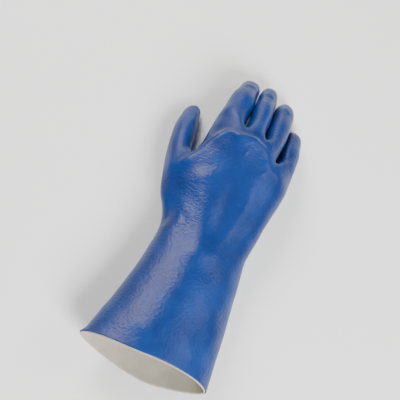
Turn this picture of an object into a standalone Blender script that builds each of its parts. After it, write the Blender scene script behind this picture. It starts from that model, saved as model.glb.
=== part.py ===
"""A chemical-resistant gauntlet glove for the right hand, lying palm down on its fingertips and cuff.

The glove is a dipped rubber skin over a knitted lining. Both follow one cage of rings: the
rings run from the open mouth of the gauntlet over the wrist and palm to the line between the
fingers, where each finger and the thumb carries on as a tube of its own along a bent path.
In the hand's own frame x points to the little finger, y to the fingertips and z to the back
of the hand. The last step lays the finished glove down and puts the origin under its middle.
"""

import math
from collections import namedtuple

import bmesh
import bpy
import numpy as np
from mathutils import Matrix, Vector

# Widths and heights of the glove, measured over the coating.
MOUTH_WIDTH = 0.132
MOUTH_HEIGHT = 0.066
WRIST_WIDTH = 0.091
WRIST_HEIGHT = 0.050
KNUCKLE_WIDTH = 0.097
KNUCKLE_HEIGHT = 0.037

# Lengths along the middle of the glove.
GAUNTLET_LENGTH = 0.147  # from the mouth to the narrowest place, above the wrist
PALM_LENGTH = 0.115  # from there to the web beside the index finger
FINGER_LENGTH = 0.090  # the middle finger, from its web to its tip
WEB_SETBACK = 0.024  # how far the line of webs falls back at the little finger
PALM_ARCH = 0.007  # how far the sides of the knuckles lie below their middle
WEB_CUTS = (0.014, 0.010, 0.019)  # how far each web between two fingers cuts back further

# The thumb.
THUMB_LENGTH = 0.096  # from the middle of its root to its tip
THUMB_WIDTH = 0.025
THUMB_BASE = 0.028  # how far the ball of the thumb stands out from the palm

# The walls.
COATING_WALL = 0.0011
LINING_WALL = 0.0011
BOND_GAP = 0.0003  # between the coating and the lining

# How the dipped glove is bent, in degrees.
MOUTH_SLANT = 9.5  # the cut at the mouth, turned from square towards the thumb
MOUTH_LEAN = 4.5  # and leaning forward over the back of the hand
WRIST_LIFT = 14.0
KNUCKLE_DROP = 26.0

# Each section is one ring of the cage. The gauntlet's stations are shares of its length, and
# flare says how far a section is from the wrist's size, 0, to the mouth's size, 1.
# Roundness is the power of the outline: 2 is an ellipse, less is pointed at the sides.
GauntletSection = namedtuple("GauntletSection", "station flare height_flare roundness shift")
GAUNTLET = (
    GauntletSection(0.00, 1.00, 1.00, 1.75, 0.080),
    GauntletSection(0.10, 0.86, 1.02, 1.80, 0.085),
    GauntletSection(0.36, 0.51, 0.95, 1.90, 0.090),
    GauntletSection(0.63, 0.21, 0.70, 2.00, 0.080),
    GauntletSection(0.84, 0.03, 0.25, 2.15, 0.055),
)
# The palm's stations are shares of its length. Spread says how far a section is from the
# wrist's size, 0, to the knuckles' size, 1; ball is the share of the thumb's ball that stands
# out there, setback the share of the slant that the section has, and scallop the share of the
# cuts between the fingers.
PalmSection = namedtuple("PalmSection", "station spread roundness ball setback arch ridge scallop")
PALM = (
    PalmSection(0.00, 0.00, 2.30, 0.00, 0.00, 0.0, 0.000, 0.00),
    PalmSection(0.15, 0.20, 2.50, 0.60, 0.00, 0.1, 0.000, 0.00),
    PalmSection(0.35, 0.45, 2.70, 1.08, 0.10, 0.3, 0.000, 0.00),
    PalmSection(0.575, 0.73, 2.90, 0.15, 0.35, 0.6, 0.000, 0.00),
    PalmSection(0.70, 0.92, 3.00, 0.00, 0.70, 0.9, 0.015, 0.00),
    PalmSection(0.84, 1.00, 3.00, 0.00, 1.00, 1.0, 0.090, 0.25),
    PalmSection(0.92, 1.00, 3.00, 0.00, 1.00, 1.0, 0.030, 0.60),
)
PALM_SHIFT = 0.010  # the palm's middle beside the mouth's, as a share of the wrist's width
THUMB_ROWS = (1, 3)  # the palm sections between which the thumb leaves

# The columns of a ring, as shares of its half width, from the thumb's side to the little
# finger's. Every second one from the first is a border between fingers.
COLUMNS = (-0.93, -0.68, -0.39, -0.16, 0.06, 0.24, 0.42, 0.70, 0.93)
SETBACK_START = -0.5  # the column at which the line of webs reaches furthest forward

# Each finger's length is a share of the named one, its width of the knuckles' width and its
# thickness of the knuckles' height. Column says where its middle starts, taper how much width
# is left at the tip, and splay and the three bends are in degrees.
Finger = namedtuple("Finger", "name length width thickness taper column splay bends")
FINGERS = (
    Finger("index", 0.83, 0.298, 0.68, 0.68, -0.695, 0.5, (0.0, 14.0, 12.0)),
    Finger("middle", 0.88, 0.208, 0.69, 0.96, -0.165, -3.6, (3.0, 14.0, 12.0)),
    Finger("ring", 0.89, 0.222, 0.66, 0.97, 0.270, -1.0, (4.0, 13.0, 12.0)),
    Finger("little", 0.68, 0.212, 0.60, 0.84, 0.715, -2.6, (2.0, 11.0, 10.0)),
)
FINGER_JOINTS = (0.05, 0.42, 0.72)  # middles of the three bends, as shares of the length
BEND_RUN = 0.28  # the length of one bend, as a share of the finger's

# The rings of a finger or thumb: station along it, size of the ring there and how much deeper
# a finger is there.
FingerRing = namedtuple("FingerRing", "station size depth")
FINGER_RINGS = (
    FingerRing(0.07, 0.98, 1.34),
    FingerRing(0.24, 0.98, 1.15),
    FingerRing(0.42, 1.02, 1.03),
    FingerRing(0.60, 0.97, 1.00),
    FingerRing(0.78, 0.96, 1.00),
    FingerRing(0.93, 0.80, 1.00),
)
FINGER_SQUARENESS = 0.08  # how far the corners of a finger's ring stand out, as a share

# The thumb's path: how far it points sideways and down when it leaves the palm, and the two
# bends that it makes towards the palm, in degrees.
THUMB_SIDEWAYS = 14.0
THUMB_DOWN = 8.0
THUMB_ROLL = 30.0
THUMB_BENDS = (16.0, 10.0)
THUMB_JOINTS = (0.38, 0.70)
THUMB_TAPER = 0.78
THUMB_THICKNESS = 0.88  # thickness as a share of the width

SIDE_POINTS = 8  # around a finger
SPINE_STEPS = 400
SMOOTHING = 1  # levels of subdivision
SLEEVE_SHARE = 0.6  # a smoothed point is kept when more than this of it comes from the sleeve


def ease(share):
    """0 before 0, 1 after 1, and a smooth curve between them."""
    t = np.clip(share, 0.0, 1.0)
    return t * t * (3 - 2 * t)


def growth(points):
    """How much larger a ring of so many cage points is made, so that its smooth form has the true size."""
    return 3 / (2 + math.cos(2 * math.pi / points))


def setback(column):
    """How far the webs lie behind the foremost one, at a column of the ring."""
    return WEB_SETBACK * ((column - SETBACK_START) / (1 - SETBACK_START)) ** 2


def web_cut(column):
    """How far the web at a column cuts back behind the line of webs."""
    webs = COLUMNS[2:-2:2]
    return WEB_CUTS[webs.index(column)] if column in webs else 0.0


class Spine:
    """The middle line of gauntlet and palm under one column: level, then raised, then dropped."""

    lift_run = 0.55  # the wrist's bend, as a share of the palm's length
    drop_run = 0.16  # the knuckles' bend, as a share of the palm's length
    knuckle_station = 0.84

    def __init__(self, column):
        reach = GAUNTLET_LENGTH + 1.3 * PALM_LENGTH
        self.stations = np.linspace(0, reach, SPINE_STEPS)
        along_palm = (self.stations - GAUNTLET_LENGTH) / PALM_LENGTH
        knuckle = self.knuckle_station - setback(column) / PALM_LENGTH
        lift = math.radians(WRIST_LIFT) * ease(along_palm / self.lift_run + 0.5)
        drop = math.radians(KNUCKLE_DROP) * ease((along_palm - knuckle) / self.drop_run + 0.5)
        self.slopes = lift - drop
        step = self.stations[1]
        self.forward = np.cumsum(np.cos(self.slopes)) * step
        self.height = np.cumsum(np.sin(self.slopes)) * step

    def slope(self, station):
        return float(np.interp(station, self.stations, self.slopes))

    def point(self, x, station, z):
        slope = self.slope(station)
        y = np.interp(station, self.stations, self.forward) - z * math.sin(slope)
        height = np.interp(station, self.stations, self.height) + z * math.cos(slope)
        return Vector((x, y, height))


def outline_height(column, roundness):
    """The height of a rounded outline of half width 1 and half height 1 at a column."""
    return (1 - abs(column) ** roundness) ** (1 / roundness)


def ring_of(
    width, height, roundness, station, shift=0.0, ball=0.0, slant=0.0, arch=0.0, ridge=0.0,
    scallop=0.0, turn=0.0, lean=0.0,
):
    """One ring: the thumb's side, nine points over the back, the other side, nine under the palm."""
    half_width = width / 2 * growth(2 * len(COLUMNS) + 2)
    half_height = height / 2 * growth(2 * len(COLUMNS) + 2)
    back = [(column, outline_height(column, roundness)) for column in COLUMNS]
    palm = [(column, -rise) for column, rise in reversed(back)]
    points = []
    for column, rise in [(-1.0, 0.0), *back, (1.0, 0.0), *palm]:
        outward = max(0.0, -column) ** 3
        x = column * half_width + shift - ball * THUMB_BASE * outward
        z = rise * half_height - arch * PALM_ARCH * column**2
        if rise > 0:
            z += ridge * height * (1 - column**4)
        z -= 0.35 * ball * THUMB_BASE * outward
        along = station - slant * setback(column) - scallop * web_cut(column)
        along += math.tan(turn) * column * half_width + math.tan(lean) * rise * half_height
        points.append(Spine(column).point(x, along, z))
    return points


def gauntlet_rings():
    rings = []
    for section in GAUNTLET:
        width = WRIST_WIDTH + (MOUTH_WIDTH - WRIST_WIDTH) * section.flare
        height = WRIST_HEIGHT + (MOUTH_HEIGHT - WRIST_HEIGHT) * section.height_flare
        station = section.station * GAUNTLET_LENGTH
        shift = section.shift * WRIST_WIDTH
        turn = math.radians(MOUTH_SLANT) * (1 - section.station)
        lean = math.radians(MOUTH_LEAN) * (1 - section.station)
        rings.append(ring_of(width, height, section.roundness, station, shift, turn=turn, lean=lean))
    return rings


def palm_rings():
    rings = []
    for section in PALM:
        width = WRIST_WIDTH + (KNUCKLE_WIDTH - WRIST_WIDTH) * section.spread
        height = WRIST_HEIGHT + (KNUCKLE_HEIGHT - WRIST_HEIGHT) * section.spread
        station = GAUNTLET_LENGTH + section.station * PALM_LENGTH
        shift = PALM_SHIFT * WRIST_WIDTH
        ring = ring_of(
            width, height, section.roundness, station, shift,
            section.ball, section.setback, section.arch, section.ridge, section.scallop,
        )
        rings.append(ring)
    return rings


def web_ring():
    """The ring at the fingers' roots: its borders are drawn in between the round fingers."""
    station = GAUNTLET_LENGTH + PALM_LENGTH
    ring = ring_of(
        KNUCKLE_WIDTH, KNUCKLE_HEIGHT, PALM[-1].roundness, station,
        PALM_SHIFT * WRIST_WIDTH, 0.0, 1.0, 1.0, scallop=1.0,
    )
    return ring


def bent_path(start, forward, up, length, joints, bends, run):
    """Points and frames along a path that starts forward and bends away from up."""
    shares = np.linspace(0, 1, SPINE_STEPS)
    angles = sum(
        math.radians(bend) * ease((shares - joint) / run + 0.5) for joint, bend in zip(joints, bends)
    )
    step = length / (SPINE_STEPS - 1)
    ahead = np.concatenate([[0], np.cumsum(np.cos(angles))[:-1]]) * step
    below = np.concatenate([[0], np.cumsum(np.sin(angles))[:-1]]) * step

    def frame(share):
        angle = float(np.interp(share, shares, angles))
        point = start + forward * float(np.interp(share, shares, ahead))
        point -= up * float(np.interp(share, shares, below))
        tangent = forward * math.cos(angle) - up * math.sin(angle)
        normal = forward * math.sin(angle) + up * math.cos(angle)
        return point, tangent, normal

    return frame


def tube_rings(frame, side, width, thickness, taper, deepened=0.0, squareness=0.0):
    """Rings around a path, each starting at the side away from side and going over the top."""
    rings = []
    for ring in FINGER_RINGS:
        point, _, normal = frame(ring.station)
        size = ring.size * (1 - (1 - taper) * ring.station) * growth(SIDE_POINTS) / 2
        depth = 1 + (ring.depth - 1) * deepened
        points = []
        for k in range(SIDE_POINTS):
            a = math.pi - 2 * math.pi * k / SIDE_POINTS
            reach = size * (1 + squareness * math.sin(2 * a) ** 2)
            across = side * (math.cos(a) * width * reach)
            points.append(point + across + normal * (math.sin(a) * thickness * depth * reach))
        rings.append(points)
    return rings


def finger_frame(number):
    """Where a finger starts, and its forward, up and side directions."""
    finger = FINGERS[number]
    middle = finger.column
    station = GAUNTLET_LENGTH + PALM_LENGTH - setback(middle)
    spine = Spine(middle)
    half_width = KNUCKLE_WIDTH / 2
    start = spine.point(middle * half_width + PALM_SHIFT * WRIST_WIDTH, station, -PALM_ARCH * middle**2)
    slope = spine.slope(station)
    splay = math.radians(finger.splay)
    forward = Vector((
        math.sin(splay),
        math.cos(splay) * math.cos(slope),
        math.cos(splay) * math.sin(slope),
    ))
    lean = math.atan2(2 * PALM_ARCH * middle, half_width)
    up = Vector((0, -math.sin(slope), math.cos(slope)))
    side = forward.cross(up).normalized()
    up = side.cross(forward)
    turn = Matrix.Rotation(lean, 3, forward)
    return start, forward, turn @ up, turn @ side


class Cage:
    """The glove's outer surface as a coarse mesh of four-sided faces."""

    def __init__(self):
        self.points = []
        self.faces = []
        self.sleeve = []

    def add(self, points):
        first = len(self.points)
        self.points.extend(points)
        return list(range(first, first + len(points)))

    def bridge(self, ring, following):
        """Faces between two rings of equal count."""
        count = len(ring)
        for k in range(count):
            near, far = ring[k], ring[(k + 1) % count]
            self.faces.append((near, far, following[(k + 1) % count], following[k]))

    def tube(self, root, rings, tip):
        """A closed finger from the root ring to its tip."""
        previous = root
        for ring in rings:
            current = self.add(ring)
            self.bridge(previous, current)
            previous = current
        top = self.add([tip])[0]
        for k in range(0, SIDE_POINTS, 2):
            after = (k + 2) % SIDE_POINTS
            self.faces.append((previous[k], previous[k + 1], previous[after], top))


def hand_cage():
    """The cage of the whole glove. Its sleeve is everything before the fingers and the thumb."""
    cage = Cage()
    rings = [cage.add(ring) for ring in gauntlet_rings() + palm_rings()]
    cage.sleeve = list(range(len(cage.points)))
    rings.append(cage.add(web_ring()))
    thumb_first, thumb_last = (len(GAUNTLET) + row for row in THUMB_ROWS)
    count = len(rings[0])
    for row in range(len(rings) - 1):
        for k in range(count):
            if thumb_first <= row < thumb_last and k in (0, count - 1):
                continue
            ring, following = rings[row], rings[row + 1]
            after = (k + 1) % count
            cage.faces.append((ring[k], ring[after], following[after], following[k]))
    add_fingers(cage, rings[-1])
    add_thumb(cage, rings[thumb_first : thumb_last + 1])
    return cage


def add_fingers(cage, web):
    """Four fingers on the last ring, with the web points between neighbours shared."""
    columns = len(COLUMNS)
    back = web[1 : columns + 1]
    palm = web[: columns + 1 : -1]
    mids = [web[0]]
    for number in range(1, len(FINGERS)):
        upper = cage.points[back[2 * number]]
        lower = cage.points[palm[2 * number]]
        mids += cage.add([(upper + lower) / 2])
    mids.append(web[columns + 1])
    for number, finger in enumerate(FINGERS):
        low, high = 2 * number, 2 * number + 2
        root = [
            mids[number], back[low], back[low + 1], back[high],
            mids[number + 1], palm[high], palm[low + 1], palm[low],
        ]
        start, forward, up, side = finger_frame(number)
        length = finger.length * FINGER_LENGTH
        width = finger.width * KNUCKLE_WIDTH
        frame = bent_path(start, forward, up, length, FINGER_JOINTS, finger.bends, BEND_RUN)
        rings = tube_rings(
            frame, side, width, finger.thickness * KNUCKLE_HEIGHT, finger.taper,
            deepened=1.0, squareness=FINGER_SQUARENESS,
        )
        tip, tangent, _ = frame(1.0)
        cage.tube(root, rings, tip + tangent * 0.04 * length)


def add_thumb(cage, rows):
    """The thumb on the hole that its rows leave in the palm's side."""
    first, middle, last = rows
    root = [first[0], first[1], middle[1], last[1], last[0], last[-1], middle[-1], first[-1]]
    corners = [cage.points[k] for k in root]
    start = sum(corners, Vector()) / len(corners)
    sideways, down = math.radians(THUMB_SIDEWAYS), math.radians(THUMB_DOWN)
    forward = Vector((
        -math.sin(sideways) * math.cos(down),
        math.cos(sideways) * math.cos(down),
        -math.sin(down),
    ))
    side = forward.cross(Vector((0, 0, 1))).normalized()
    up = side.cross(forward)
    turn = Matrix.Rotation(math.radians(-THUMB_ROLL), 3, forward)
    up, side = turn @ up, turn @ side
    frame = bent_path(start, forward, up, THUMB_LENGTH, THUMB_JOINTS, THUMB_BENDS, BEND_RUN)
    thickness = THUMB_THICKNESS * THUMB_WIDTH
    rings = tube_rings(frame, side, THUMB_WIDTH, thickness, THUMB_TAPER)[1:]
    tip, tangent, _ = frame(1.0)
    cage.tube(root, rings, tip + tangent * 0.04 * THUMB_LENGTH)


def add_material(name, colour, roughness):
    material = bpy.data.materials.new(name)
    material.use_nodes = True
    shader = material.node_tree.nodes["Principled BSDF"]
    shader.inputs["Base Color"].default_value = (*colour, 1.0)
    shader.inputs["Metallic"].default_value = 0.0
    shader.inputs["Roughness"].default_value = roughness
    return material


def add_skin(name, cage, depth, wall, material, sleeve_only=False):
    """A closed wall that lies depth below the smooth form of a cage, or of its sleeve alone."""
    mesh = bpy.data.meshes.new(name)
    mesh.from_pydata([tuple(p) for p in cage.points], [], cage.faces)
    work = bmesh.new()
    work.from_mesh(mesh)
    bmesh.ops.recalc_face_normals(work, faces=work.faces)
    work.to_mesh(mesh)
    work.free()
    mesh.shade_smooth()
    mesh.materials.append(material)
    skin = bpy.data.objects.new(name, mesh)
    bpy.context.scene.collection.objects.link(skin)
    smooth = skin.modifiers.new("smooth form", "SUBSURF")
    smooth.levels = smooth.render_levels = SMOOTHING
    if depth:
        inward = skin.modifiers.new("depth below the outside", "DISPLACE")
        inward.strength = -depth
        inward.mid_level = 0.0
    if sleeve_only:
        skin.vertex_groups.new(name="sleeve").add(cage.sleeve, 1.0, "REPLACE")
        kept = skin.modifiers.new("sleeve without fingers", "MASK")
        kept.vertex_group = "sleeve"
        kept.threshold = SLEEVE_SHARE
    solid = skin.modifiers.new("wall", "SOLIDIFY")
    solid.thickness = wall
    solid.offset = -1.0
    return skin


def evaluated_points(obj):
    graph = bpy.context.evaluated_depsgraph_get()
    return [v.co.copy() for v in obj.evaluated_get(graph).data.vertices]


def resting_turn(points):
    """The rotation that lays the points on the face of their hull below their middle."""
    hull = bmesh.new()
    for point in points:
        hull.verts.new(point)
    bmesh.ops.convex_hull(hull, input=hull.verts)
    middle = sum(points, Vector()) / len(points)
    best, lowest = None, -math.inf
    for face in hull.faces:
        normal = face.normal
        if normal.z > -0.2:
            continue
        corner = face.verts[0].co
        height = corner.z - (normal.x * (middle.x - corner.x) + normal.y * (middle.y - corner.y)) / normal.z
        if height > lowest:
            best, lowest = normal.copy(), height
    hull.free()
    return best.rotation_difference(Vector((0, 0, -1))).to_matrix()


def lay_down(skins):
    """Turns the glove onto its resting points, with the origin under the middle of its box."""
    turn = resting_turn(evaluated_points(skins[0]))
    turned = [turn @ p for skin in skins for p in evaluated_points(skin)]
    low = Vector([min(p[k] for p in turned) for k in range(3)])
    high = Vector([max(p[k] for p in turned) for k in range(3)])
    middle = (low + high) / 2
    rest = bpy.data.objects.new("glove_at_rest", None)
    bpy.context.scene.collection.objects.link(rest)
    rest.matrix_world = Matrix.Translation((-middle.x, -middle.y, -low.z)) @ turn.to_4x4()
    for skin in skins:
        skin.parent = rest


def main():
    for obj in list(bpy.data.objects):
        bpy.data.objects.remove(obj)
    rubber = add_material("blue nitrile rubber", (0.012, 0.085, 0.33), 0.45)
    knit = add_material("unbleached cotton knit", (0.62, 0.60, 0.54), 0.9)
    cage = hand_cage()
    coating = add_skin("nitrile_coating", cage, 0.0, COATING_WALL, rubber)
    lining = add_skin(
        "cotton_lining", cage, COATING_WALL + BOND_GAP, LINING_WALL, knit, sleeve_only=True
    )
    bpy.context.view_layer.update()
    lay_down([coating, lining])


main()
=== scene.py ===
import math

import bpy
import numpy as np
from mathutils import Matrix


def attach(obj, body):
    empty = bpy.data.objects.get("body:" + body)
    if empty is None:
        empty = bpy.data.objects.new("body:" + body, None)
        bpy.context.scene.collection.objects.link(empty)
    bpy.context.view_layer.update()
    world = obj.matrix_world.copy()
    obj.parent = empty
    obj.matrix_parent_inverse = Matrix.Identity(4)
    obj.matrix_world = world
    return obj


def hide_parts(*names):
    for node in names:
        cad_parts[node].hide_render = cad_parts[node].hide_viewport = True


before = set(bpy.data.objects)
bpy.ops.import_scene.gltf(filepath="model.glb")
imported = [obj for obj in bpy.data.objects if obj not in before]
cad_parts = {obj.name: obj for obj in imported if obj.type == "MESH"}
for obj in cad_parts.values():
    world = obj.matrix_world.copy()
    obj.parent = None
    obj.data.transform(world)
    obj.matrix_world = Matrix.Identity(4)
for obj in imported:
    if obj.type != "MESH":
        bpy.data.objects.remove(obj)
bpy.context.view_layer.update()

print("stage: frame loaded")

# A rubber-dipped gauntlet glove for the right hand. It is worked out in the hand's own frame,
# where x points to the little finger, y to the fingertips and z to the back of the hand,
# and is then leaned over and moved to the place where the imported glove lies.

# Lengths in metres, angles in degrees and the rest as shares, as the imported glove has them.
glove = {
    "mouthWidth": 0.132,
    "mouthHeight": 0.066,
    "wristWidth": 0.091,
    "wristHeight": 0.050,
    "knuckleWidth": 0.097,
    "knuckleHeight": 0.037,
    "gauntletLength": 0.147,
    "palmLength": 0.115,
    "fingerLength": 0.090,
    "webSetback": 0.024,
    "palmArch": 0.007,
    "palmShift": 0.00091,
    "mouthSlant": 9.5,
    "mouthLean": 4.5,
    "wristLift": 14.0,
    "wristRun": 0.55,  # of the palm's length, over which the wrist lifts
    "knuckleDrop": 26.0,
    "knuckleRun": 0.16,  # of the palm's length, over which the knuckles drop
    "knuckleStation": 0.84,  # of the palm's length
    "ballDrop": 0.35,  # how far the thumb's ball goes down for each step outwards
    "fingerJoints": (0.05, 0.42, 0.72),
    "fingerSquareness": 0.08,
    "bendRun": 0.28,  # of a finger's length, over which a joint bends
    "tipCap": 0.04,  # of a finger's length, past its last ring
    "coatingWall": 0.0011,
    "liningWall": 0.0011,
    "bondGap": 0.0003,
    "liningLip": 0.0009,
    "leanAxis": (-0.50199, 0.86487, 0.0),  # the glove leans over about it onto what it rests on
    "leanAngle": 5.6662,
    "restingPlace": (0.003505, -0.163840, 0.036245),  # then moves by this
    "curveSteps": 400,
    "smoothing": 3,  # how often the coarse mesh is halved
}
tubeSides = 8  # points round a finger or the thumb
pastWebs = 1.3  # of the palm's length, the end of the middle line that the rings are set on

# Rings of the gauntlet: station as a share of its length, how far width and height have grown
# from the wrist's to the mouth's, the outline's power, and the shift to the little finger's side.
gauntletTable = np.array([
    # station, flare, heightFlare, roundness, shift
    (0.00, 1.00, 1.00, 1.75, 0.080),
    (0.10, 0.86, 1.02, 1.80, 0.085),
    (0.36, 0.51, 0.95, 1.90, 0.090),
    (0.63, 0.21, 0.70, 2.00, 0.080),
    (0.84, 0.03, 0.25, 2.15, 0.055),
])
# Rings of the palm: spread grows from the wrist's size to the knuckles', ball is the thumb's.
palmTable = np.array([
    # station, spread, roundness, ball, setback, arch, ridge, scallop
    (0.00, 0.00, 2.30, 0.00, 0.00, 0.0, 0.000, 0.00),
    (0.15, 0.20, 2.50, 0.60, 0.00, 0.1, 0.000, 0.00),
    (0.35, 0.45, 2.70, 1.08, 0.10, 0.3, 0.000, 0.00),
    (0.575, 0.73, 2.90, 0.15, 0.35, 0.6, 0.000, 0.00),
    (0.70, 0.92, 3.00, 0.00, 0.70, 0.9, 0.015, 0.00),
    (0.84, 1.00, 3.00, 0.00, 1.00, 1.0, 0.090, 0.25),
    (0.92, 1.00, 3.00, 0.00, 1.00, 1.0, 0.030, 0.60),
    (1.00, 1.00, 3.00, 0.00, 1.00, 1.0, 0.000, 1.00),
])
# How far the web between two fingers cuts back behind the line of webs, by ring column.
scallops = np.array([0.0, 0.0, 0.014, 0.0, 0.010, 0.0, 0.019, 0.0, 0.0])
ringColumns = np.array([-0.93, -0.68, -0.39, -0.16, 0.06, 0.24, 0.42, 0.70, 0.93])
# Length, width and thickness are shares of the finger length, the knuckle width and the knuckle
# height, and taper is the share of the width left at the tip.
fingerTable = {
    # length, width, thickness, taper, column, splay, and the bends at the root, middle and end
    "index": (0.83, 0.298, 0.68, 0.68, -0.695, 0.5, 0.0, 14.0, 12.0),
    "middle": (0.88, 0.208, 0.69, 0.96, -0.165, -3.6, 3.0, 14.0, 12.0),
    "ring": (0.89, 0.222, 0.66, 0.97, 0.270, -1.0, 4.0, 13.0, 12.0),
    "little": (0.68, 0.212, 0.60, 0.84, 0.715, -2.6, 2.0, 11.0, 10.0),
}
fingerRings = np.array([
    # station, size, depth
    (0.07, 0.98, 1.34),
    (0.24, 0.98, 1.15),
    (0.42, 1.02, 1.03),
    (0.60, 0.97, 1.00),
    (0.78, 0.96, 1.00),
    (0.93, 0.80, 1.00),
])
thumbRings = np.array([
    # station, size, depth
    (0.24, 0.98, 1.0),
    (0.42, 1.02, 1.0),
    (0.60, 0.97, 1.0),
    (0.78, 0.96, 1.0),
    (0.93, 0.80, 1.0),
])
thumb = {
    "length": 0.096,
    "width": 0.025,
    "thickness": 0.88,  # of its width
    "taper": 0.78,
    "base": 0.028,  # how far its ball stands out from the palm
    "sideways": 14.0,
    "down": 8.0,
    "roll": 30.0,
    "joints": (0.38, 0.70),
    "bends": (16.0, 10.0),
    "rows": (1, 3),  # of the palm's rings, between which it starts
}


def ease(share):
    # 3t^2 - 2t^3 between 0 and 1, flat outside
    t = np.clip(share, 0.0, 1.0)
    return t * t * (3 - 2 * t)


def growth(count):
    # how much larger a ring of so many points is drawn for its smooth form to have the true size
    return 3 / (2 + math.cos(2 * math.pi / count))


def webLine(column):
    # the webs fall back with the square of the distance from the index finger's column at -0.5,
    # in full at the little finger's side, 1.5 from there
    return glove["webSetback"] * ((column + 0.5) / 1.5) ** 2


def spinePoints(columns, x, station, z):
    # Middle line under each column: its slope rises by the wrist's lift and falls by the
    # knuckles' drop, its forward and height are the running sums of the slope's cosine and sine.
    # A point is set off from that line by x sideways and by z square to the slope.
    g = glove
    steps = np.linspace(0, g["gauntletLength"] + pastWebs * g["palmLength"], g["curveSteps"])
    along = (steps - g["gauntletLength"]) / g["palmLength"]
    knuckle = g["knuckleStation"] - webLine(columns)[:, None] / g["palmLength"]
    slope = math.radians(g["wristLift"]) * ease(along / g["wristRun"] + 0.5)
    slope = slope - math.radians(g["knuckleDrop"]) * ease((along - knuckle) / g["knuckleRun"] + 0.5)
    forward = np.cumsum(np.cos(slope), axis=1) * steps[1]
    height = np.cumsum(np.sin(slope), axis=1) * steps[1]

    def read(table):
        return np.stack([np.interp(station[:, k], steps, table[k]) for k in range(len(columns))], 1)

    tilt = read(slope)
    return np.stack([x, read(forward) - z * np.sin(tilt), read(height) + z * np.cos(tilt)], -1), tilt


def sleeveRings():
    # A ring is |x|^p + |z|^p = 1 scaled to its width and height, drawn out at the thumb's ball
    # and lowered at its sides by the palm's arch. Rows are rings, columns go round a ring.
    g, gaunt, palm = glove, gauntletTable, palmTable
    side = np.concatenate([[-1.0], ringColumns, [1.0], ringColumns[::-1]])
    back = np.ones(len(ringColumns))
    upper = np.concatenate([[0.0], back, [0.0], -back])
    zero = np.zeros(len(gaunt))
    station = np.concatenate([gaunt[:, 0] * g["gauntletLength"],
                              g["gauntletLength"] + palm[:, 0] * g["palmLength"]])[:, None]
    width = np.concatenate([
        g["wristWidth"] + (g["mouthWidth"] - g["wristWidth"]) * gaunt[:, 1],
        g["wristWidth"] + (g["knuckleWidth"] - g["wristWidth"]) * palm[:, 1]])[:, None]
    height = np.concatenate([
        g["wristHeight"] + (g["mouthHeight"] - g["wristHeight"]) * gaunt[:, 2],
        g["wristHeight"] + (g["knuckleHeight"] - g["wristHeight"]) * palm[:, 1]])[:, None]
    power = np.concatenate([gaunt[:, 3], palm[:, 2]])[:, None]
    shift = np.concatenate([
        gaunt[:, 4] * g["wristWidth"], np.full(len(palm), g["palmShift"])])[:, None]
    ball, setback, arch, ridge, scallop = (
        np.concatenate([zero, palm[:, k]])[:, None] for k in (3, 4, 5, 6, 7))
    cut = np.concatenate([[0.0], scallops, [0.0], scallops[::-1]])
    toMouth = np.concatenate([1 - gaunt[:, 0], np.zeros(len(palm))])[:, None]
    halfWidth = width / 2 * growth(len(side))
    halfHeight = height / 2 * growth(len(side))
    rise = upper * np.clip(1 - np.abs(side) ** power, 0, 1) ** (1 / power)
    outward = np.clip(-side, 0, None) ** 3 * ball * thumb["base"]
    x = side * halfWidth + shift - outward
    z = rise * halfHeight - arch * g["palmArch"] * side ** 2 - g["ballDrop"] * outward
    z += np.where(upper > 0, ridge * height * (1 - side ** 4), 0.0)
    along = station - setback * webLine(side) - scallop * cut
    along = along + np.tan(np.radians(g["mouthSlant"]) * toMouth) * side * halfWidth
    along = along + np.tan(np.radians(g["mouthLean"]) * toMouth) * rise * halfHeight
    return spinePoints(side, x, along, z)[0]


def refineRows(rings):
    # one halving of a cubic curve through the rings: old rings lean on their neighbours by an
    # eighth, new ones lie midway, and the two end rings stay
    between = (rings[:-1] + rings[1:]) / 2
    kept = rings.copy()
    kept[1:-1] = (rings[:-2] + 6 * rings[1:-1] + rings[2:]) / 8
    finer = np.empty((2 * len(rings) - 1, *rings.shape[1:]))
    finer[0::2] = kept
    finer[1::2] = between
    return finer


def bentPath(start, forward, up, length, joints, bends):
    # a line that bends away from up by each angle, over a short run about each joint
    share = np.linspace(0, 1, glove["curveSteps"])
    angle = sum(math.radians(bend) * ease((share - joint) / glove["bendRun"] + 0.5)
                for joint, bend in zip(joints, bends))
    step = length / (glove["curveSteps"] - 1)
    ahead = np.concatenate([[0], np.cumsum(np.cos(angle))[:-1]]) * step
    below = np.concatenate([[0], np.cumsum(np.sin(angle))[:-1]]) * step

    def at(stations):
        a = np.interp(stations, share, angle)[:, None]
        point = start + forward * np.interp(stations, share, ahead)[:, None]
        point = point - up * np.interp(stations, share, below)[:, None]
        return point, forward * np.cos(a) - up * np.sin(a), forward * np.sin(a) + up * np.cos(a)

    return at


def tubeRings(path, side, width, thickness, taper, rings, squareness=0.0):
    # ellipses square to the path, from the thumb's side over the top, shrinking along it, with
    # their corners pushed out by squareness times the squared sine of twice the angle
    point, _, normal = path(rings[:, 0])
    size = (rings[:, 1] * (1 - (1 - taper) * rings[:, 0]) * growth(tubeSides) / 2)[:, None, None]
    around = (math.pi - 2 * math.pi * np.arange(tubeSides) / tubeSides)[None, :, None]
    size = size * (1 + squareness * np.sin(2 * around) ** 2)
    across = side * np.cos(around) * width * size
    deep = thickness * size * rings[:, 2][:, None, None]
    return point[:, None, :] + across + normal[:, None, :] * np.sin(around) * deep


def bandFaces(grid):
    # four-sided faces between each row of point numbers and the next, closed round the ring
    after = np.roll(grid, -1, axis=1)
    return np.stack([grid[:-1], after[:-1], after[1:], grid[1:]], -1)


def unit(v):
    return v / np.linalg.norm(v)


def turned(v, axis, angle):
    # a vector turned about a unit axis: cosine part, sine part and the share along the axis
    along = axis * (axis @ v) * (1 - math.cos(angle))
    return v * math.cos(angle) + np.cross(axis, v) * math.sin(angle) + along


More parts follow.
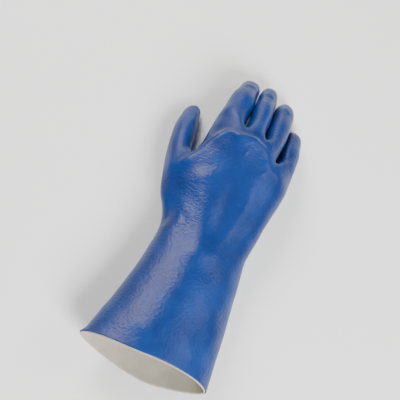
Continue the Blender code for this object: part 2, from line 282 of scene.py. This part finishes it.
def fingerStart(middle):
    # middle of a finger's root on the line of webs, and the slope of the hand there
    g = glove
    column = np.array([middle])
    station = g["gauntletLength"] + g["palmLength"] - webLine(column)
    x = column * g["knuckleWidth"] / 2 + g["palmShift"]
    point, tilt = spinePoints(column, x[None], station[None], (-g["palmArch"] * column ** 2)[None])
    return point[0, 0], float(tilt[0, 0])


def gloveCage():
    # the whole outside as a coarse mesh: sleeve rings, then four fingers and the thumb as tubes,
    # and for each face whether the lining lies inside it
    g = glove
    rings = sleeveRings()
    thumbFirst = len(gauntletTable) + thumb["rows"][0]
    finer = refineRows(rings[:thumbFirst + 1])
    added = len(finer) - thumbFirst - 1
    rings = np.concatenate([finer, rings[thumbFirst + 1:]])
    first, last = thumbFirst + added, len(gauntletTable) + thumb["rows"][1] + added
    rows, count = rings.shape[:2]
    grid = np.arange(rows * count).reshape(rows, count)
    bands = bandFaces(grid)
    keep = np.ones(bands.shape[:2], bool)
    keep[first:last, [0, -1]] = False
    points = [rings.reshape(-1, 3)]
    faces = [bands[keep]]
    lined = [np.nonzero(keep)[0] < rows - 2]
    total = rows * count

    def addTube(root, path, side, width, thickness, taper, stations, length, squareness=0.0):
        # rings along a path from the points of its root, closed at the tip by faces on one point
        nonlocal total
        tube = tubeRings(path, side, width, thickness, taper, stations, squareness)
        end, ahead, _ = path(np.array([1.0]))
        tip = end + ahead * g["tipCap"] * length
        top = total + len(tube) * tubeSides
        numbers = np.arange(total, top).reshape(-1, tubeSides)
        band = bandFaces(np.concatenate([[root], numbers])).reshape(-1, 4)
        rim = numbers[-1]
        cap = np.stack([rim[0::2], rim[1::2], np.roll(rim, -2)[0::2],
                        np.full(tubeSides // 2, top)], -1)
        points.extend([tube.reshape(-1, 3), tip])
        faces.extend([band, cap])
        lined.append(np.zeros(len(band) + len(cap), bool))
        total = top + 1

    # the webs are at every second column of the last ring, each with a point halfway through
    web = grid[-1]
    farSide = len(ringColumns) + 1
    back, palm = web[1:farSide], web[:farSide:-1]
    pairs = [(back[k], palm[k]) for k in (2, 4, 6)]
    flat = points[0]
    points.append(np.array([(flat[a] + flat[b]) / 2 for a, b in pairs]))
    mids = [web[0], total, total + 1, total + 2, web[farSide]]
    total += len(pairs)
    for number, row in enumerate(fingerTable.values()):
        length, width, thickness, taper, middle, splay, *bends = row
        low, high = 2 * number, 2 * number + 2
        root = [mids[number], back[low], back[low + 1], back[high],
                mids[number + 1], palm[high], palm[low + 1], palm[low]]
        start, slope = fingerStart(middle)
        splay = math.radians(splay)
        forward = np.array([math.sin(splay), math.cos(splay) * math.cos(slope),
                            math.cos(splay) * math.sin(slope)])
        up = np.array([0.0, -math.sin(slope), math.cos(slope)])
        side = unit(np.cross(forward, up))
        up = np.cross(side, forward)
        lean = math.atan2(2 * g["palmArch"] * middle, g["knuckleWidth"] / 2)
        up, side = turned(up, forward, lean), turned(side, forward, lean)
        length *= g["fingerLength"]
        path = bentPath(start, forward, up, length, g["fingerJoints"], bends)
        addTube(root, path, side, width * g["knuckleWidth"], thickness * g["knuckleHeight"],
                taper, fingerRings, length, g["fingerSquareness"])

    low, mid, high = grid[first], grid[(first + last) // 2], grid[last]
    root = [low[0], low[1], mid[1], high[1], high[0], high[-1], mid[-1], low[-1]]
    start = flat[root].mean(0)
    sideways, down = math.radians(thumb["sideways"]), math.radians(thumb["down"])
    forward = np.array([-math.sin(sideways) * math.cos(down), math.cos(sideways) * math.cos(down),
                        -math.sin(down)])
    side = unit(np.cross(forward, (0.0, 0.0, 1.0)))
    up = np.cross(side, forward)
    roll = -math.radians(thumb["roll"])
    up, side = turned(up, forward, roll), turned(side, forward, roll)
    path = bentPath(start, forward, up, thumb["length"], thumb["joints"], thumb["bends"])
    addTube(root, path, side, thumb["width"], thumb["thickness"] * thumb["width"],
            thumb["taper"], thumbRings, thumb["length"])
    return np.concatenate(points), np.concatenate(faces), np.concatenate(lined)


def meshOf(name, points, faces, marks=None):
    # fills a mesh of four-sided faces from whole arrays; marks are kept as material numbers
    mesh = bpy.data.meshes.new(name)
    mesh.vertices.add(len(points))
    mesh.vertices.foreach_set("co", np.asarray(points, np.float32).ravel())
    mesh.loops.add(faces.size)
    mesh.loops.foreach_set("vertex_index", np.asarray(faces, np.int32).ravel())
    mesh.polygons.add(len(faces))
    mesh.polygons.foreach_set("loop_start", np.arange(0, faces.size, 4, dtype=np.int32))
    if marks is not None:
        mesh.polygons.foreach_set("material_index", np.asarray(marks, np.int32))
    mesh.update(calc_edges=True)
    mesh.validate()
    return mesh


def smoothed(points, faces, marks):
    # the smooth form of a coarse mesh, read back as arrays, with each face's mark carried along
    work = bpy.data.objects.new("cage", meshOf("cage", points, faces, marks))
    bpy.context.scene.collection.objects.link(work)
    step = work.modifiers.new("smooth", "SUBSURF")
    step.levels = step.render_levels = glove["smoothing"]
    mesh = work.evaluated_get(bpy.context.evaluated_depsgraph_get()).to_mesh()
    co = np.empty(len(mesh.vertices) * 3, np.float32)
    mesh.vertices.foreach_get("co", co)
    corners = np.empty(len(mesh.loops), np.int32)
    mesh.loops.foreach_get("vertex_index", corners)
    marks = np.empty(len(mesh.polygons), np.int32)
    mesh.polygons.foreach_get("material_index", marks)
    bpy.data.objects.remove(work)
    return co.reshape(-1, 3).astype(float), corners.reshape(-1, 4), marks == 1


def pointNormals(points, faces):
    # each face's normal by its diagonals' cross product, summed at its points
    a, b, c, d = (points[faces[:, k]] for k in range(4))
    face = np.cross(c - a, d - b)
    total = np.zeros_like(points)
    for k in range(4):
        np.add.at(total, faces[:, k], face)
    return total / np.maximum(np.linalg.norm(total, axis=1, keepdims=True), 1e-12)


# Raised and sunken lines of the dipped form, all in millimetres. Height is above the smooth form
# or below it, width and front are how far the line spreads to the right and left of its path,
# and the path is in the hand's frame, seen from the back of the hand.
reliefTable = {
    # name: height, width, front, path
    "knuckleCrest": (1.9, 4.6, 3.4, [
        (-60, 184), (-52, 197), (-45, 212), (-40, 226), (-35, 237), (-29, 241.5), (-22, 239),
        (-14, 240), (-6, 242.5), (4, 240.5), (14, 235)]),
    "knuckleShoulder": (2.6, 15.0, 4.5, [
        (-58, 188), (-50, 201), (-44, 214), (-39, 227), (-32, 238), (-20, 239), (-6, 240),
        (6, 238)]),
    "webEdge": (0.7, 2.2, 2.2, [(-58, 214), (-52, 224), (-46, 235), (-43, 243)]),
    "handRidge": (2.6, 11.0, 13.0, [
        (-39, 197), (-33, 189), (-26, 179), (-17, 165), (-10, 150), (-4, 138), (-1, 122),
        (0, 100)]),
    "wristCrease": (-0.7, 3.0, 3.0, [(-33, 152), (-27, 143), (-24, 136), (-30, 124)]),
    "sleeveRidge": (1.6, 15.0, 17.0, [(-2, 128), (1, 104), (2, 84), (0, 62), (-4, 40), (-8, 10)]),
    "thumbFold": (-2.6, 9.0, 9.0, [(-64, 190), (-57, 177), (-50, 164), (-43, 149), (-41, 128)]),
    "indexFall": (-1.4, 6.0, 6.0, [(-56, 216), (-49, 230), (-42, 242), (-38, 254)]),
    "thumbNail": (1.1, 2.6, 2.0, [(-68, 242), (-65, 252), (-65, 261), (-69, 269)]),
    "indexTip": (0.7, 2.2, 2.2, [(-40, 306), (-36, 313), (-29, 315), (-24, 311)]),
    "middleTip": (0.7, 2.2, 2.2, [(-18, 311), (-12, 315), (-5, 311)]),
    "ringTip": (0.7, 2.2, 2.2, [(4, 310), (10, 312), (16, 306)]),
    "ulnarRidge": (1.2, 6.0, 7.0, [(13, 210), (19, 176), (17, 152), (14, 134), (17, 112)]),
    "middleValley": (-0.9, 7.0, 7.0, [(-4, 206), (0, 180), (2, 152), (2, 128)]),
    "ringKnuckle": (0.9, 6.0, 6.0, [(8, 230), (16, 224), (20, 214)]),
    "littleKnuckle": (0.9, 5.0, 5.0, [(30, 222), (35, 226), (38, 222)]),
}
reliefFade = 14.0  # mm over which a line rises from its ends, or a third of a short line
backNormal = 0.5  # the lines stand in full where the skin's normal points up by this share
undersideNormal = 0.6  # the swells are gone where it points down by this share


def alongPath(xy, path):
    # distance from each point to a broken line, how far it lies from the line's nearer end, as a
    # share of what it takes to reach full height, and which side it is on
    path = np.asarray(path, float)
    span = path[1:] - path[:-1]
    size = np.linalg.norm(span, axis=1)
    reach = np.concatenate([[0], np.cumsum(size)])
    best = np.full(len(xy), np.inf)
    share = np.zeros(len(xy))
    left = np.zeros(len(xy))
    for k in range(len(span)):
        away = xy - path[k]
        t = np.clip(away @ span[k] / size[k] ** 2, 0, 1)
        gap = away - t[:, None] * span[k]
        far = np.linalg.norm(gap, axis=1)
        near = far < best
        best = np.where(near, far, best)
        share = np.where(near, (reach[k] + t * size[k]) / reach[-1], share)
        left = np.where(near, np.sign(span[k][0] * away[:, 1] - span[k][1] * away[:, 0]), left)
    run = share * reach[-1]
    return best, np.minimum(run, reach[-1] - run) / min(reliefFade, reach[-1] / 3), left


def addRelief(points, normals):
    # height of each line times a bell curve of the distance, faded at both ends of the line
    mm = points * 1000
    lift = np.zeros(len(points))
    upper = ease(normals[:, 2] / backNormal)
    for height, width, front, path in reliefTable.values():
        far, inside, left = alongPath(mm[:, :2], path)
        spread = np.where(left > 0, front, width)
        lift += height * np.exp(-(far / spread) ** 2) * ease(inside) * upper
    lift += unevenness(mm) * ease(normals[:, 2] / undersideNormal + 1)
    return points + normals * lift[:, None] / 1000


# The dipped skin is a little uneven: soft swells of a few centimetres.
swell = {
    "seed": 11,
    "count": 14,
    "shortest": 16.0,  # mm
    "longest": 46.0,
    "height": 0.20,  # mm for the shortest, in proportion for the longer ones
}


def unevenness(mm):
    # a sum of sine waves in seeded directions, each as high as its length allows
    draw = np.random.default_rng(swell["seed"])
    length = draw.uniform(swell["shortest"], swell["longest"], swell["count"])
    heading = draw.normal(size=(swell["count"], 3))
    heading /= np.linalg.norm(heading, axis=1, keepdims=True)
    phase = draw.uniform(0, 2 * math.pi, swell["count"])
    turns = mm @ (heading / length[:, None]).T * 2 * math.pi + phase
    tall = swell["height"] * length / swell["shortest"] / math.sqrt(swell["count"])
    return (np.sin(turns) * tall).sum(1)


def atRest(points):
    # leans the finished glove over onto the points it rests on, where the skin is pressed flat
    lean = np.array(Matrix.Rotation(math.radians(glove["leanAngle"]), 3, glove["leanAxis"]))
    lying = points @ lean.T + np.array(glove["restingPlace"])
    lying[:, 2] = np.maximum(lying[:, 2], 0.0)
    return lying


def addPiece(name, points, faces, wall, node, material):
    # a skin with a wall set inwards, at the place of the CAD node that it stands for
    mesh = meshOf(name, atRest(points), faces)
    mesh.shade_smooth()
    mesh.materials.append(material)
    piece = bpy.data.objects.new(name, mesh)
    bpy.context.scene.collection.objects.link(piece)
    solid = piece.modifiers.new("wall", "SOLIDIFY")
    solid.thickness = wall
    solid.offset = -1.0
    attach(piece, "root")
    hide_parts(node)


def linear(code):
    # sRGB hex to linear: c/12.92 below 0.04045, otherwise ((c + 0.055)/1.055)^2.4
    parts = [int(code[k:k + 2], 16) / 255 for k in (1, 3, 5)]
    return (*[c / 12.92 if c <= 0.04045 else ((c + 0.055) / 1.055) ** 2.4 for c in parts], 1.0)


def addNode(tree, kind, settings=None, links=None):
    # one shader node: settings go to attributes or input values, links are (input, output) pairs
    node = tree.nodes.new(kind)
    for key, value in (settings or {}).items():
        if isinstance(key, str) and hasattr(node, key):
            setattr(node, key, value)
        else:
            node.inputs[key].default_value = value
    for key, output in (links or {}).items():
        tree.links.new(output, node.inputs[key])
    return node


def calculated(tree, operation, first, second=None):
    # output of one calculation on first and second, where second is a number or another output
    node = addNode(tree, "ShaderNodeMath", {"operation": operation}, {0: first})
    if isinstance(second, (int, float)):
        node.inputs[1].default_value = second
    elif second is not None:
        tree.links.new(second, node.inputs[1])
    return node.outputs[0]


def setRamp(ramp, span, colours):
    # the two stops of a colour ramp
    for stop, position, colour in zip(ramp.elements, span, colours):
        stop.position = position
        stop.color = colour


def newMaterial(name):
    material = bpy.data.materials.new(name)
    material.use_nodes = True
    return material, material.node_tree, material.node_tree.nodes["Principled BSDF"]


def addCloudyColour(tree, shader, place, look):
    # base colour between the deep and the plain one, by a soft noise
    cloud = addNode(tree, "ShaderNodeTexNoise",
                    {"Scale": look["cloudScale"], "Detail": look["cloudDetail"]},
                    {"Vector": place.outputs["Object"]})
    tone = addNode(tree, "ShaderNodeValToRGB", None, {"Fac": cloud.outputs["Fac"]})
    setRamp(tone.color_ramp, look["cloudSpan"], (linear(look["deepColour"]), linear(look["colour"])))
    tree.links.new(tone.outputs["Color"], shader.inputs["Base Color"])


def addBump(tree, shader, height, depth):
    # bump of the given depth in metres, from a height of 0 to 1
    bump = addNode(tree, "ShaderNodeBump", {"Strength": 1.0, "Distance": depth}, {"Height": height})
    tree.links.new(bump.outputs["Normal"], shader.inputs["Normal"])


# Nitrile rubber, dipped over the knit and leached: satin, with the faint orange peel and the
# short cross wrinkles of a skin that shrank as it dried, and a pale lilac bloom in its gloss.
nitrile = {
    "colour": "#043478",
    "deepColour": "#032a65",
    "cloudScale": 30.0,
    "cloudDetail": 3.0,
    "cloudSpan": (0.35, 0.65),
    "roughness": 0.40,
    "refraction": 1.52,
    "glossLevel": 0.34,
    "glossTint": (1.0, 0.86, 0.96, 1.0),
    "grainLength": 1.15,  # mm, really about 0.8 mm, coarser so that it shows at this distance
    "grainStretch": 0.72,  # below 1 the grain runs across the glove
    "grainDetail": 2.0,
    "grainRoughness": 0.5,
    "grainDepth": 0.00048,
}


def dippedNitrileRubber():
    material, tree, shader = newMaterial("dippedNitrileRubber")
    place = addNode(tree, "ShaderNodeTexCoord")
    addCloudyColour(tree, shader, place, nitrile)
    # grain: noise, about two swells to each unit of it, on coordinates squeezed across the glove
    spread = addNode(tree, "ShaderNodeMapping", {"Scale": (nitrile["grainStretch"], 1.0, 1.0)},
                     {"Vector": place.outputs["Object"]})
    grain = addNode(tree, "ShaderNodeTexNoise",
                    {"Scale": 1000 / nitrile["grainLength"] / 2, "Detail": nitrile["grainDetail"],
                     "Roughness": nitrile["grainRoughness"]},
                    {"Vector": spread.outputs["Vector"]})
    addBump(tree, shader, grain.outputs["Fac"], nitrile["grainDepth"])
    shader.inputs["Roughness"].default_value = nitrile["roughness"]
    shader.inputs["IOR"].default_value = nitrile["refraction"]
    shader.inputs["Specular IOR Level"].default_value = nitrile["glossLevel"]
    shader.inputs["Specular Tint"].default_value = nitrile["glossTint"]
    return material


# Unbleached cotton, knitted as interlock: matt, warm grey, with fine upright rows of loops.
cotton = {
    "colour": "#bdb6a8",
    "deepColour": "#a9a192",
    "cloudScale": 60.0,
    "cloudDetail": 4.0,
    "cloudSpan": (0.3, 0.7),
    "roughness": 0.9,
    "fuzz": 0.2,
    "ribsRound": 240,  # upright rows of loops round the sleeve, each about 1.4 mm wide
    "courseHeight": 1.3,  # mm, one loop along the sleeve
    "loopDepth": 0.00012,
    "middle": (0.012, 0.034),  # of the sleeve at rest, across and up, in metres
}


def cottonInterlockKnit():
    material, tree, shader = newMaterial("cottonInterlockKnit")
    place = addNode(tree, "ShaderNodeTexCoord")
    addCloudyColour(tree, shader, place, cotton)
    # loops: sine of the angle round the sleeve times sine of the way along it
    parts = addNode(tree, "ShaderNodeSeparateXYZ", None, {"Vector": place.outputs["Object"]})
    across, up = cotton["middle"]
    angle = calculated(tree, "ARCTAN2", calculated(tree, "SUBTRACT", parts.outputs["Z"], up),
                       calculated(tree, "SUBTRACT", parts.outputs["X"], across))
    along = 2000 * math.pi / cotton["courseHeight"]
    ribs = calculated(tree, "SINE", calculated(tree, "MULTIPLY", angle, cotton["ribsRound"]))
    courses = calculated(tree, "SINE", calculated(tree, "MULTIPLY", parts.outputs["Y"], along))
    addBump(tree, shader, calculated(tree, "MULTIPLY", ribs, courses), cotton["loopDepth"])
    shader.inputs["Roughness"].default_value = cotton["roughness"]
    shader.inputs["Sheen Weight"].default_value = cotton["fuzz"]
    return material


def renumbered(points, faces):
    # keeps the points that the faces use and numbers them anew
    used, faces = np.unique(faces, return_inverse=True)
    return points[used], faces.reshape(-1, 4)


def mouthPoints(points, faces):
    # numbers of the points on open edges, those that only one face has, at the cuff's end
    edges = np.sort(np.stack([faces, np.roll(faces, -1, axis=1)], -1).reshape(-1, 2), axis=1)
    pairs, times = np.unique(edges, axis=0, return_counts=True)
    rim = np.unique(pairs[times == 1])
    return rim[points[rim, 1] < glove["gauntletLength"] / 2]


outer, quads, lined = smoothed(*gloveCage())
print("stage: smooth form", len(outer), "points", len(quads), "faces")
outer = addRelief(outer, pointNormals(outer, quads))
depth = glove["coatingWall"] + glove["bondGap"]
inner, innerQuads = renumbered(outer - pointNormals(outer, quads) * depth, quads[lined])
inner[mouthPoints(inner, innerQuads), 1] -= glove["liningLip"]
addPiece("gloveCoating", outer, quads, glove["coatingWall"], "nitrile_coating",
         dippedNitrileRubber())
addPiece("gloveLining", inner, innerQuads, glove["liningWall"], "cotton_lining",
         cottonInterlockKnit())
print("stage: coating and lining")


def setPlace(holder, right, up, back, eye):
    # a light or camera at eye looks along minus back, with right and up in its picture
    rows = zip(np.stack([right, up, back], 1), eye)
    holder.matrix_world = Matrix([(*row, spot) for row, spot in rows] + [(0, 0, 0, 1)])


# A plain pale sheet under the glove.
sheet = {
    "halfWidth": 2.5,
    "colour": "#fcfcfc",
    "roughness": 0.8,
}
reach = sheet["halfWidth"]
floorMesh = bpy.data.meshes.new("studioFloor")
floorMesh.from_pydata([(-reach, -reach, 0), (reach, -reach, 0), (reach, reach, 0), (-reach, reach, 0)],
                      [], [(0, 1, 2, 3)])
floor = bpy.data.objects.new("studioFloor", floorMesh)
bpy.context.scene.collection.objects.link(floor)
floorMaterial, _, floorShader = newMaterial("paleStudioFloor")
floorShader.inputs["Base Color"].default_value = linear(sheet["colour"])
floorShader.inputs["Roughness"].default_value = sheet["roughness"]
floorMesh.materials.append(floorMaterial)

# Soft studio light: azimuth is from +Y towards +X and elevation above the floor, in degrees,
# distance and size are in metres, and power is in watts.
lights = {
    # name: azimuth, elevation, distance, size, power, colour
    "mainSoftbox": (-54, 45, 1.6, 0.86, 26.0, "#fffaf6"),
    "backSoftbox": (-27, 24, 1.8, 0.7, 9.0, "#ffffff"),
    "rightSoftbox": (60, 46, 1.8, 0.7, 9.0, "#ffffff"),
    "frontSoftbox": (140, 40, 2.0, 1.0, 78.0, "#ffffff"),
}
for name, (azimuth, elevation, distance, size, power, colour) in lights.items():
    lamp = bpy.data.lights.new(name, "AREA")
    lamp.shape = "DISK"
    lamp.size = size
    lamp.energy = power
    lamp.color = linear(colour)[:3]
    holder = bpy.data.objects.new(name, lamp)
    bpy.context.scene.collection.objects.link(holder)
    a, e = math.radians(azimuth), math.radians(elevation)
    back = np.array([math.sin(a) * math.cos(e), math.cos(a) * math.cos(e), math.sin(e)])
    right = unit(np.cross((0.0, 0.0, 1.0), back))
    setPlace(holder, right, np.cross(back, right), back, back * distance)

# The room is dim, and a little lighter near the horizon than overhead.
room = {
    "horizon": 0.10,
    "overhead": 0.03,
    "span": (0.05, 0.35),  # of the way up, from the horizon's grey to the grey overhead
    "strength": 1.3,
}
world = bpy.data.worlds.new("paleRoom")
bpy.context.scene.world = world
world.use_nodes = True
tree = world.node_tree
sky = tree.nodes["Background"]
heading = addNode(tree, "ShaderNodeTexCoord")
parts = addNode(tree, "ShaderNodeSeparateXYZ", None, {"Vector": heading.outputs["Generated"]})
fall = addNode(tree, "ShaderNodeValToRGB", None, {"Fac": parts.outputs["Z"]})
fall.color_ramp.interpolation = "EASE"
setRamp(fall.color_ramp, room["span"], [(room[k],) * 3 + (1.0,) for k in ("horizon", "overhead")])
tree.links.new(fall.outputs["Color"], sky.inputs["Color"])
sky.inputs["Strength"].default_value = room["strength"]
print("stage: floor and light")

# Camera at the photograph's angle, in degrees: azimuth 0 looks along +Y, and the picture is
# rolled. Distance and the shifts across and upward are in metres, the lens in millimetres.
shot = {
    "azimuth": -0.245,
    "elevation": 66.785,
    "roll": 29.817,
    "distance": 1.57148,
    "across": -0.002798,
    "upward": 0.029984,
    "lens": 144.0,
    "sensor": 36.0,
}
a, e, r = (math.radians(shot[k]) for k in ("azimuth", "elevation", "roll"))
back = np.array([math.sin(a) * math.cos(e), -math.cos(a) * math.cos(e), math.sin(e)])
right = np.array([math.cos(a), math.sin(a), 0.0])
up = np.cross(back, right)
right, up = right * math.cos(r) + up * math.sin(r), up * math.cos(r) - right * math.sin(r)
eye = right * shot["across"] + up * shot["upward"] + back * shot["distance"]
camera = bpy.data.objects.new("camera", bpy.data.cameras.new("camera"))
bpy.context.scene.collection.objects.link(camera)
camera.data.sensor_width = shot["sensor"]
camera.data.lens = shot["lens"]
setPlace(camera, right, up, back, eye)
bpy.context.scene.camera = camera
